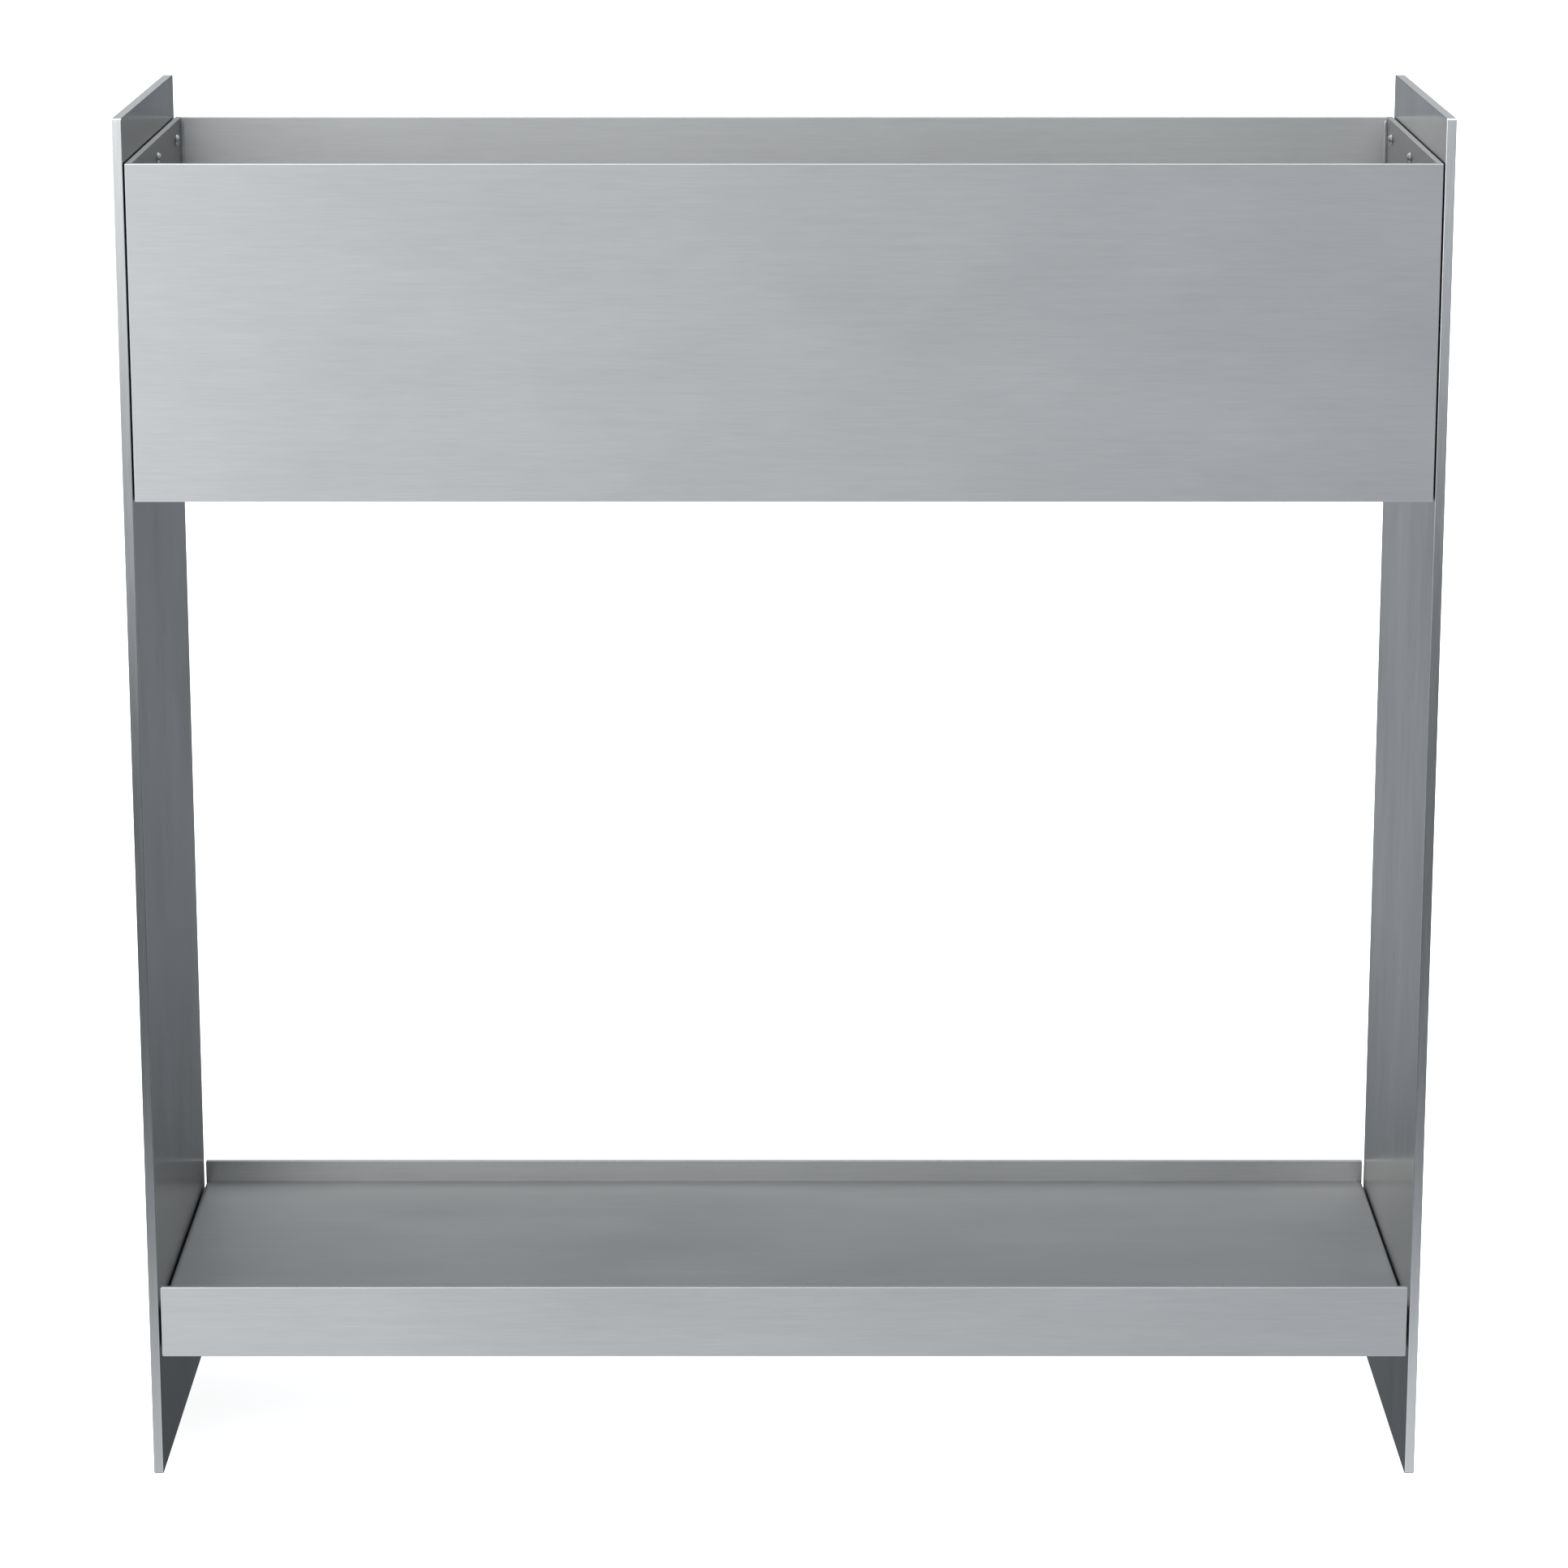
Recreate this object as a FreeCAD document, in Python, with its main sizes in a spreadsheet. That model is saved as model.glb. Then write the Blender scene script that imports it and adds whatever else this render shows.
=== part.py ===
# Raised planter on legs: two side panels standing on edge, an open planter box hung between them
# near the top, and a lipped shelf between them near the ground.
#
# Millimetres. +Z is up, the front faces -Y, and the origin is on the ground at the middle of the
# footprint. A piece that is used at both ends, or at the front and the back, is drawn once, for the
# right end or the front. Its twin is the same piece turned half a turn about the upright axis.

import FreeCAD, Part
import math
import os
import Sketcher

# Driving dimensions: alias, millimetres, meaning.
SIZES = [
    ("overall_width", 800, "outer face to outer face of the side panels"),
    ("overall_depth", 250, "front edge to back edge of the side panels"),
    ("overall_height", 860, "ground to the top edge of the side panels"),
    ("panel_thick", 6, "side panel plate"),
    ("panel_corner", 1.5, "rounding of a side panel's four corners"),
    ("arris_radius", 0.4, "easing of the exposed plate edges"),
    ("box_drop", 27, "panel top edge down to the planter's rim"),
    ("box_height", 205, "planter rim down to the planter's lower edge"),
    ("wall_thick", 4, "front, back and end walls of the planter"),
    ("bottom_thick", 4, "floor plate of the planter"),
    ("shelf_clearance", 79, "ground to the lower edge of the shelf rails"),
    ("rail_height", 46, "height of a shelf rail"),
    ("rail_thick", 3, "flat bar of a shelf rail"),
    ("rail_corner", 1, "rounding of a shelf rail's four corners"),
    ("rail_setback", 0.4, "shelf rail ends back from the outer faces of the flanges"),
    ("lip_height", 14.5, "shelf rail above the shelf floor"),
    ("sheet_thick", 2, "folded sheet of the shelf floor"),
    ("bend_radius", 1.5, "inside radius of the folds"),
    ("flange_drop", 28, "shelf floor down to the lower edge of an end flange"),
    ("relief_width", 2, "notch between an end flange and a shelf rail"),
    ("screw_size", 4, "thread diameter of the screws"),
    ("blind_skin", 0.8, "side panel left behind a blind hole"),
    ("head_width", 7.6, "diameter of a button head"),
    ("head_flat", 3.8, "diameter of the flat on a button head"),
    ("head_height", 2.2, "height of a button head"),
    ("socket_width", 2.5, "hexagon socket, across its flats"),
    ("socket_depth", 1.3, "depth of the hexagon socket"),
    ("tip_chamfer", 0.5, "chamfer on a screw's tip"),
    ("thread_play", 0.05, "radial play of a screw in its tapped hole"),
    ("tip_play", 0.2, "air past a screw's tip in its blind hole"),
    ("hole_play", 0.25, "radial play of a screw in a wall, a flange or a spacer"),
    ("spacer_width", 9, "outer diameter of a spacer washer"),
    ("spacer_thick", 1, "spacer washer, and so the gap beside each panel"),
    ("screw_margin", 30, "outer box screws in from the front and back of the panels"),
    ("upper_inset", 11.6, "planter rim down to the upper screws"),
    ("lower_inset", 30, "planter's lower edge up to the lower screws"),
    ("shelf_margin", 45, "shelf screws in from the front and back of the panels"),
    ("flange_inset", 17, "shelf floor down to the shelf screws"),
]

# Sizes that follow from the driving dimensions, as expressions.
PANEL_INNER = "(sizes.overall_width / 2 - sizes.panel_thick)"
BOX_HALF = "(" + PANEL_INNER + " - sizes.spacer_thick)"
BOX_WIDTH = "(2 * " + BOX_HALF + ")"
END_INNER = "(" + BOX_HALF + " - sizes.wall_thick)"
HALF_DEPTH = "(sizes.overall_depth / 2)"
BOX_INNER_DEPTH = "(sizes.overall_depth - 2 * sizes.wall_thick)"
RIM_LEVEL = "(sizes.overall_height - sizes.box_drop)"
BOX_BASE = "(" + RIM_LEVEL + " - sizes.box_height)"
RAIL_LENGTH = "(" + BOX_WIDTH + " - 2 * sizes.rail_setback)"
SHELF_DEPTH = "(sizes.overall_depth - 2 * sizes.rail_thick)"
SHELF_LEVEL = "(sizes.shelf_clearance + sizes.rail_height - sizes.lip_height)"
FOLD_RADIUS = "(sizes.bend_radius + sizes.sheet_thick)"
FLANGE_INNER = "(" + BOX_HALF + " - sizes.sheet_thick)"
CLEAR_HOLE = "(sizes.screw_size + 2 * sizes.hole_play)"
TAPPED_HOLE = "(sizes.screw_size + 2 * sizes.thread_play)"
TAPPED_DEPTH = "(sizes.panel_thick - sizes.blind_skin)"
SCREW_REACH = "(" + TAPPED_DEPTH + " - sizes.tip_play)"

# Screw places: along the depth for each row, and up for the rows.
SCREW_SPREAD = "(" + HALF_DEPTH + " - sizes.screw_margin)"
SHELF_SPREAD = "(" + HALF_DEPTH + " - sizes.shelf_margin)"
UPPER_LEVEL = "(" + RIM_LEVEL + " - sizes.upper_inset)"
LOWER_LEVEL = "(" + BOX_BASE + " + sizes.lower_inset)"
FLANGE_LEVEL = "(" + SHELF_LEVEL + " - sizes.flange_inset)"
BOX_COLUMNS = {"front": "-" + SCREW_SPREAD, "middle": "0", "rear": SCREW_SPREAD}
BOX_ROWS = {"upper": UPPER_LEVEL, "lower": LOWER_LEVEL}
SHELF_COLUMNS = {"front": "-" + SHELF_SPREAD, "rear": SHELF_SPREAD}

# Geometry numbers of Sketcher's own elements.
ORIGIN = (-1, 1)
ACROSS_AXIS = -1
UP_AXIS = -2

DOC = FreeCAD.newDocument("raised_planter")
NODES = []


def make_sheet():
    """Write the driving dimensions into the spreadsheet, one aliased cell each."""
    sheet = DOC.addObject("Spreadsheet::Sheet", "sizes")
    for row, (alias, value, meaning) in enumerate(SIZES, start=1):
        sheet.set("A%d" % row, meaning)
        sheet.set("B%d" % row, str(value))
        sheet.setAlias("B%d" % row, alias)
    DOC.recompute()


def number(expression):
    """Work out an expression, so that a sketch is drawn at its size before it is constrained."""
    return float(DOC.getObject("sizes").evalExpression(expression))


def new_body(label):
    """Start a sub-part. Its label is the node's name."""
    body = DOC.addObject("PartDesign::Body", label)
    body.Label = label
    NODES.append(body)
    return body


def place(body, x="0", y="0", z="0", turned=False):
    """Put a body's origin at three expressions, turned half a turn if it is a twin."""
    angle = 180 if turned else 0
    body.Placement.Rotation = FreeCAD.Rotation(FreeCAD.Vector(0, 0, 1), angle)
    body.setExpression(".Placement.Base.x", x)
    body.setExpression(".Placement.Base.y", y)
    body.setExpression(".Placement.Base.z", z)


def new_sketch(body, name, role, offset=None):
    """Add a sketch on one of the body's origin planes, lifted off it by an expression."""
    plane = [item for item in body.Origin.OriginFeatures if item.Role == role][0]
    sketch = body.newObject("Sketcher::SketchObject", body.Name + "_" + name)
    sketch.AttachmentSupport = [(plane, "")]
    sketch.MapMode = "FlatFace"
    if offset:
        sketch.setExpression(".AttachmentOffset.Base.z", offset)
    return sketch


def bind(sketch, kind, *where, size):
    """Add a dimension whose value is an expression."""
    index = sketch.addConstraint(Sketcher.Constraint(kind, *where, 1.0))
    sketch.setExpression("Constraints[%d]" % index, size)


def outline(sketch, points):
    """Draw a closed outline of straight lines through the points, joined end to end."""
    vectors = [FreeCAD.Vector(x, y, 0) for x, y in points]
    count = len(vectors)
    for index in range(count):
        sketch.addGeometry(Part.LineSegment(vectors[index], vectors[(index + 1) % count]))
    for index in range(count):
        sketch.addConstraint(Sketcher.Constraint("Coincident", index, 2, (index + 1) % count, 1))


def rectangle(sketch, width, height, standing=False):
    """Draw a rectangle about the sketch's origin, or one that stands on its across axis."""
    bottom, right, top, left = range(4)
    half = number(width) / 2
    low = 0 if standing else -number(height) / 2
    high = low + number(height)
    outline(sketch, [(-half, low), (half, low), (half, high), (-half, high)])
    for line in (bottom, top):
        sketch.addConstraint(Sketcher.Constraint("Horizontal", line))
    for line in (right, left):
        sketch.addConstraint(Sketcher.Constraint("Vertical", line))
    if standing:
        sketch.addConstraint(Sketcher.Constraint("Symmetric", bottom, 1, bottom, 2, *ORIGIN))
    else:
        sketch.addConstraint(Sketcher.Constraint("Symmetric", bottom, 1, top, 1, *ORIGIN))
    bind(sketch, "DistanceX", bottom, 1, bottom, 2, size=width)
    bind(sketch, "DistanceY", right, 1, right, 2, size=height)


def draw_circle(sketch, x, y, diameter):
    """Add a circle where it is to be, with no constraint yet."""
    centre = FreeCAD.Vector(x, y, 0)
    return sketch.addGeometry(Part.Circle(centre, FreeCAD.Vector(0, 0, 1), diameter / 2))


def circle(sketch, diameter, across="0", up="0"):
    """Draw a circle. Its centre is on each axis that gets no distance."""
    index = draw_circle(sketch, number(across), number(up), number(diameter))
    bind(sketch, "Diameter", index, size=diameter)
    if across != "0":
        bind(sketch, "DistanceX", *ORIGIN, index, 3, size=across)
    else:
        sketch.addConstraint(Sketcher.Constraint("PointOnObject", index, 3, UP_AXIS))
    if up != "0":
        bind(sketch, "DistanceY", *ORIGIN, index, 3, size=up)
    else:
        sketch.addConstraint(Sketcher.Constraint("PointOnObject", index, 3, ACROSS_AXIS))
    return index


def hole_row(sketch, diameter, spread, up, middle=False):
    """Draw a row of circles at one height: one at each end, and one in the middle if asked."""
    first = circle(sketch, diameter, across=spread, up=up)
    twin = draw_circle(sketch, -number(spread), number(up), number(diameter))
    sketch.addConstraint(Sketcher.Constraint("Equal", first, twin))
    sketch.addConstraint(Sketcher.Constraint("Symmetric", first, 3, twin, 3, UP_AXIS))
    if middle:
        circle(sketch, diameter, up=up)


def pad(body, sketch, length, both_ways=False):
    """Raise a sketch into a solid, along its normal or evenly to both sides of it."""
    feature = body.newObject("PartDesign::Pad", body.Name + "_pad")
    feature.Profile = sketch
    if both_ways:
        feature.SideType = "Symmetric"
    feature.setExpression("Length", length)
    DOC.recompute()


def cut_volume(body, before):
    """Stop the script if the last cut missed the solid."""
    DOC.recompute()
    if before - body.Shape.Volume < 1e-6:
        raise RuntimeError("a cut in " + body.Label + " removes nothing")


def pocket(body, sketch, depth=None, forward=False, both_ways=False):
    """Cut a sketch out of the solid to a depth, or right through it."""
    before = body.Shape.Volume
    feature = body.newObject("PartDesign::Pocket", body.Name + "_pocket")
    feature.Profile = sketch
    feature.Reversed = forward
    if both_ways:
        feature.SideType = "Symmetric"
    if depth:
        feature.setExpression("Length", depth)
    else:
        feature.Type = "ThroughAll"
    cut_volume(body, before)


def drill(body, sketch, diameter, depth=None):
    """Drill the sketch's circles along its normal, to a flat bottom or right through."""
    before = body.Shape.Volume
    feature = body.newObject("PartDesign::Hole", body.Name + "_hole")
    feature.Profile = sketch
    feature.Reversed = True
    feature.ThreadType = "None"
    feature.DrillPoint = "Flat"
    feature.setExpression("Diameter", diameter)
    if depth:
        feature.DepthType = "Dimension"
        feature.setExpression("Depth", depth)
    else:
        feature.DepthType = "ThroughAll"
    cut_volume(body, before)


def round_edges(body, name, radius, chosen):
    """Round the edges of the body's last feature that the test picks."""
    base = body.Tip
    edges = base.Shape.Edges
    names = ["Edge%d" % number for number, edge in enumerate(edges, start=1) if chosen(edge)]
    feature = body.newObject("PartDesign::Fillet", body.Name + "_" + name)
    feature.Base = (base, names)
    feature.setExpression("Radius", radius)
    DOC.recompute()


def runs_along(edge, axis):
    """Say whether an edge is a straight one along the axis numbered 0, 1 or 2 for X, Y or Z."""
    if edge.Curve.TypeId != "Part::GeomLine":
        return False
    direction = edge.tangentAt(edge.FirstParameter)
    return abs(direction[axis]) > 0.999


def make_side_panel(label, turned):
    """Upright plate that is a leg. Local origin: inner face, on the ground, middle of the depth."""
    body = new_body(label)
    plate = new_sketch(body, "plate", "YZ_Plane")
    rectangle(plate, "sizes.overall_depth", "sizes.overall_height", standing=True)
    pad(body, plate, "sizes.panel_thick")
    round_edges(body, "corners", "sizes.panel_corner", lambda edge: runs_along(edge, 0))
    round_edges(body, "arrises", "sizes.arris_radius", lambda edge: not runs_along(edge, 0))
    holes = new_sketch(body, "holes", "YZ_Plane")
    for level in BOX_ROWS.values():
        hole_row(holes, TAPPED_HOLE, SCREW_SPREAD, level, middle=True)
    hole_row(holes, TAPPED_HOLE, SHELF_SPREAD, FLANGE_LEVEL)
    drill(body, holes, TAPPED_HOLE, TAPPED_DEPTH)
    place(body, x=("-" if turned else "") + PANEL_INNER, turned=turned)


def make_long_wall(label, turned):
    """Front or back wall of the planter. Local origin: inner face, lower edge, middle."""
    body = new_body(label)
    plate = new_sketch(body, "plate", "XZ_Plane")
    rectangle(plate, BOX_WIDTH, "sizes.box_height", standing=True)
    pad(body, plate, "sizes.wall_thick")
    round_edges(body, "arrises", "sizes.arris_radius", lambda edge: True)
    inner_face = BOX_INNER_DEPTH + " / 2"
    place(body, y=inner_face if turned else "-" + inner_face, z=BOX_BASE, turned=turned)


def is_raised_rim(edge):
    """Say whether an edge runs along Y above the piece's own origin."""
    return runs_along(edge, 1) and edge.CenterOfMass.z > 0.001


def make_end_wall(label, turned):
    """End wall between the front and back walls. Local origin: inner face, lower edge, middle."""
    body = new_body(label)
    plate = new_sketch(body, "plate", "YZ_Plane")
    rectangle(plate, BOX_INNER_DEPTH, "sizes.box_height", standing=True)
    pad(body, plate, "sizes.wall_thick")
    round_edges(body, "rim", "sizes.arris_radius", is_raised_rim)
    holes = new_sketch(body, "holes", "YZ_Plane")
    upper = "(sizes.box_height - sizes.upper_inset)"
    for level in (upper, "sizes.lower_inset"):
        hole_row(holes, CLEAR_HOLE, SCREW_SPREAD, level, middle=True)
    drill(body, holes, CLEAR_HOLE)
    place(body, x=("-" if turned else "") + END_INNER, z=BOX_BASE, turned=turned)


def make_planter_floor():
    """Plate between the four walls, level with their lower edges."""
    body = new_body("planter_floor")
    plate = new_sketch(body, "plate", "XY_Plane")
    rectangle(plate, "2 * " + END_INNER, BOX_INNER_DEPTH)
    pad(body, plate, "sizes.bottom_thick")
    place(body, z=BOX_BASE)


def channel(sketch, width, drop, thick):
    """Draw a flat top at the origin with a flange hanging at each end, its corners still square."""
    half, deep, wall = number(width) / 2, number(drop), number(thick)
    inner = half - wall
    outline(sketch, [
        (-half, 0), (half, 0), (half, -deep), (inner, -deep),
        (inner, -wall), (-inner, -wall), (-inner, -deep), (-half, -deep),
    ])
    top, right_face, right_edge, right_back, under, left_back, left_edge, left_face = range(8)
    for line in (top, right_edge, under, left_edge):
        sketch.addConstraint(Sketcher.Constraint("Horizontal", line))
    for line in (right_face, right_back, left_back, left_face):
        sketch.addConstraint(Sketcher.Constraint("Vertical", line))
    sketch.addConstraint(Sketcher.Constraint("Symmetric", top, 1, top, 2, *ORIGIN))
    sketch.addConstraint(Sketcher.Constraint("Equal", right_face, left_face))
    bind(sketch, "DistanceX", top, 1, top, 2, size=width)
    bind(sketch, "DistanceY", right_face, 2, right_face, 1, size=drop)
    bind(sketch, "DistanceX", right_edge, 2, right_edge, 1, size=thick)
    bind(sketch, "DistanceX", left_edge, 2, left_edge, 1, size=thick)
    bind(sketch, "DistanceY", under, 1, top, 2, size=thick)


def make_shelf_floor():
    """Folded sheet whose flanges hang at its ends. Local origin: middle of its upper face."""
    body = new_body("shelf_floor")
    profile = new_sketch(body, "profile", "XZ_Plane")
    channel(profile, BOX_WIDTH, "sizes.flange_drop", "sizes.sheet_thick")
    pad(body, profile, SHELF_DEPTH, both_ways=True)
    thick = number("sizes.sheet_thick")

    def is_fold(edge, level):
        return runs_along(edge, 1) and abs(edge.CenterOfMass.z - level) < 0.001

    round_edges(body, "outer_folds", FOLD_RADIUS, lambda edge: is_fold(edge, 0))
    round_edges(body, "inner_folds", "sizes.bend_radius", lambda edge: is_fold(edge, -thick))
    for end, x in (("right", BOX_HALF), ("left", "-" + BOX_HALF)):
        for edge, y in (("front", "-" + SHELF_DEPTH + " / 2"), ("rear", SHELF_DEPTH + " / 2")):
            notch = new_sketch(body, "notch_" + end + "_" + edge, "XY_Plane")
            rectangle(notch, "2 * " + FOLD_RADIUS, "2 * sizes.relief_width")
            notch.setExpression(".AttachmentOffset.Base.x", x)
            notch.setExpression(".AttachmentOffset.Base.y", y)
            pocket(body, notch)
    holes = new_sketch(body, "holes", "YZ_Plane")
    hole_row(holes, CLEAR_HOLE, SHELF_SPREAD, "-sizes.flange_inset")
    pocket(body, holes, both_ways=True)
    place(body, z=SHELF_LEVEL)


def make_rail(label, turned):
    """Shelf rail, a flat bar on edge. Local origin: inner face, lower edge, middle."""
    body = new_body(label)
    bar = new_sketch(body, "bar", "XZ_Plane")
    rectangle(bar, RAIL_LENGTH, "sizes.rail_height", standing=True)
    pad(body, bar, "sizes.rail_thick")
    round_edges(body, "corners", "sizes.rail_corner", lambda edge: runs_along(edge, 1))
    round_edges(body, "arrises", "sizes.arris_radius", lambda edge: not runs_along(edge, 1))
    inner_face = SHELF_DEPTH + " / 2"
    y = inner_face if turned else "-" + inner_face
    place(body, y=y, z="sizes.shelf_clearance", turned=turned)


def screw_profile(sketch, length):
    """Draw half of a button-head screw: a dome centred on its axis, the shank and its tip."""
    flat = number("sizes.head_flat / 2")
    rim = number("sizes.head_width / 2")
    height = number("sizes.head_height")
    shank = number("sizes.screw_size / 2")
    bevel = number("sizes.tip_chamfer")
    reach = number(length)
    dome_centre = (height ** 2 + flat ** 2 - rim ** 2) / (-2 * height)
    dome_radius = math.hypot(dome_centre, rim)
    points = [
        (-height, flat), (-height, 0), (reach, 0), (reach, shank - bevel),
        (reach - bevel, shank), (0, shank), (0, rim),
    ]
    vectors = [FreeCAD.Vector(x, y, 0) for x, y in points]
    lines = []
    for first, second in zip(vectors, vectors[1:]):
        lines.append(sketch.addGeometry(Part.LineSegment(first, second)))
    top, axis, end, chamfer, side, under = lines
    centre = FreeCAD.Vector(dome_centre, 0, 0)
    full = Part.Circle(centre, FreeCAD.Vector(0, 0, 1), dome_radius)
    start = full.parameter(vectors[-1])
    finish = full.parameter(vectors[0])
    dome = sketch.addGeometry(Part.ArcOfCircle(full, start, finish))
    constrain = sketch.addConstraint
    for first, second in zip(lines, lines[1:]):
        constrain(Sketcher.Constraint("Coincident", first, 2, second, 1))
    constrain(Sketcher.Constraint("Coincident", under, 2, dome, 1))
    constrain(Sketcher.Constraint("Coincident", dome, 2, top, 1))
    constrain(Sketcher.Constraint("PointOnObject", dome, 3, ACROSS_AXIS))
    constrain(Sketcher.Constraint("PointOnObject", axis, 1, ACROSS_AXIS))
    for level in (axis, side):
        constrain(Sketcher.Constraint("Horizontal", level))
    for upright in (top, end, under):
        constrain(Sketcher.Constraint("Vertical", upright))
    constrain(Sketcher.Constraint("PointOnObject", under, 2, UP_AXIS))
    bind(sketch, "DistanceX", axis, 1, *ORIGIN, size="sizes.head_height")
    bind(sketch, "DistanceX", *ORIGIN, axis, 2, size=length)
    bind(sketch, "DistanceY", *ORIGIN, top, 1, size="sizes.head_flat / 2")
    bind(sketch, "DistanceY", *ORIGIN, under, 2, size="sizes.head_width / 2")
    bind(sketch, "DistanceY", *ORIGIN, side, 2, size="sizes.screw_size / 2")
    bind(sketch, "DistanceX", chamfer, 2, chamfer, 1, size="sizes.tip_chamfer")
    bind(sketch, "DistanceY", chamfer, 1, chamfer, 2, size="sizes.tip_chamfer")


def hexagon(sketch, across_flats):
    """Draw a regular hexagon about the sketch's origin, sized across its flats."""
    radius = number(across_flats) / math.sqrt(3)
    ring = sketch.addGeometry(Part.Circle(FreeCAD.Vector(), FreeCAD.Vector(0, 0, 1), radius), True)
    sketch.addConstraint(Sketcher.Constraint("Coincident", ring, 3, *ORIGIN))
    corners = []
    for turn in range(6):
        direction = FreeCAD.Rotation(FreeCAD.Vector(0, 0, 1), 60 * turn)
        corners.append(direction.multVec(FreeCAD.Vector(radius, 0, 0)))
    sides = []
    for turn in range(6):
        side = Part.LineSegment(corners[turn], corners[(turn + 1) % 6])
        sides.append(sketch.addGeometry(side))
    for turn in range(6):
        following = sides[(turn + 1) % 6]
        sketch.addConstraint(Sketcher.Constraint("Coincident", sides[turn], 2, following, 1))
        sketch.addConstraint(Sketcher.Constraint("PointOnObject", sides[turn], 1, ring))
        if turn:
            sketch.addConstraint(Sketcher.Constraint("Equal", sides[0], sides[turn]))
    sketch.addConstraint(Sketcher.Constraint("PointOnObject", sides[0], 1, ACROSS_AXIS))
    bind(sketch, "DistanceY", sides[4], 1, sides[1], 1, size=across_flats)


def make_screw(label, length, x, y, z, turned):
    """Button-head socket screw along X. Local origin: on the axis, under the head."""
    body = new_body(label)
    profile = new_sketch(body, "profile", "XZ_Plane")
    screw_profile(profile, length)
    turning = body.newObject("PartDesign::Revolution", body.Name + "_turning")
    turning.Profile = profile
    turning.ReferenceAxis = (profile, ["H_Axis"])
    turning.Angle = 360
    DOC.recompute()
    socket = new_sketch(body, "socket", "YZ_Plane", offset="-sizes.head_height")
    hexagon(socket, "sizes.socket_width")
    pocket(body, socket, "sizes.socket_depth", forward=True)
    place(body, x, y, z, turned)


def make_spacer(label, x, y, z, turned):
    """Spacer washer round a screw, between a panel and the box or the shelf."""
    body = new_body(label)
    ring = new_sketch(body, "ring", "YZ_Plane")
    circle(ring, "sizes.spacer_width")
    circle(ring, CLEAR_HOLE)
    pad(body, ring, "sizes.spacer_thick")
    place(body, x, y, z, turned)


def make_fixings():
    """Put in the screws and spacers of both ends, named by end, row and place."""
    box_length = "(sizes.wall_thick + sizes.spacer_thick + " + SCREW_REACH + ")"
    shelf_length = "(sizes.sheet_thick + sizes.spacer_thick + " + SCREW_REACH + ")"
    for end, turned in (("left", True), ("right", False)):
        sign = "-" if turned else ""
        for row, z in BOX_ROWS.items():
            for column, y in BOX_COLUMNS.items():
                tag = "_".join((end, row, column))
                make_screw("box_screw_" + tag, box_length, sign + END_INNER, y, z, turned)
                make_spacer("box_spacer_" + tag, sign + BOX_HALF, y, z, turned)
        for column, y in SHELF_COLUMNS.items():
            tag = "_".join((end, column))
            inner = sign + FLANGE_INNER
            make_screw("shelf_screw_" + tag, shelf_length, inner, y, FLANGE_LEVEL, turned)
            make_spacer("shelf_spacer_" + tag, sign + BOX_HALF, y, FLANGE_LEVEL, turned)


def check_and_export():
    """Recompute, stop on any failed object or bad shape, then write one STEP file per node."""
    DOC.recompute()
    for item in DOC.Objects:
        if "Invalid" in item.State or "Error" in item.State:
            raise RuntimeError(item.Label + " failed to compute: " + str(item.State))
    for body in NODES:
        if body.Shape.isNull() or not body.Shape.isValid():
            raise RuntimeError(body.Label + " has no valid shape")
    os.makedirs("parts", exist_ok=True)
    for body in NODES:
        body.Shape.exportStep(os.path.join("parts", body.Label + ".step"))
        box = body.Shape.BoundBox
        low = (round(box.XMin, 2), round(box.YMin, 2), round(box.ZMin, 2))
        high = (round(box.XMax, 2), round(box.YMax, 2), round(box.ZMax, 2))
        print(body.Label, low, high, "volume", round(body.Shape.Volume, 1))
    print(len(NODES), "nodes")


make_sheet()
make_side_panel("side_panel_left", turned=True)
make_side_panel("side_panel_right", turned=False)
make_long_wall("planter_front_wall", turned=False)
make_long_wall("planter_back_wall", turned=True)
make_end_wall("planter_end_left", turned=True)
make_end_wall("planter_end_right", turned=False)
make_planter_floor()
make_shelf_floor()
make_rail("shelf_front_rail", turned=False)
make_rail("shelf_back_rail", turned=True)
make_fixings()
check_and_export()
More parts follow.
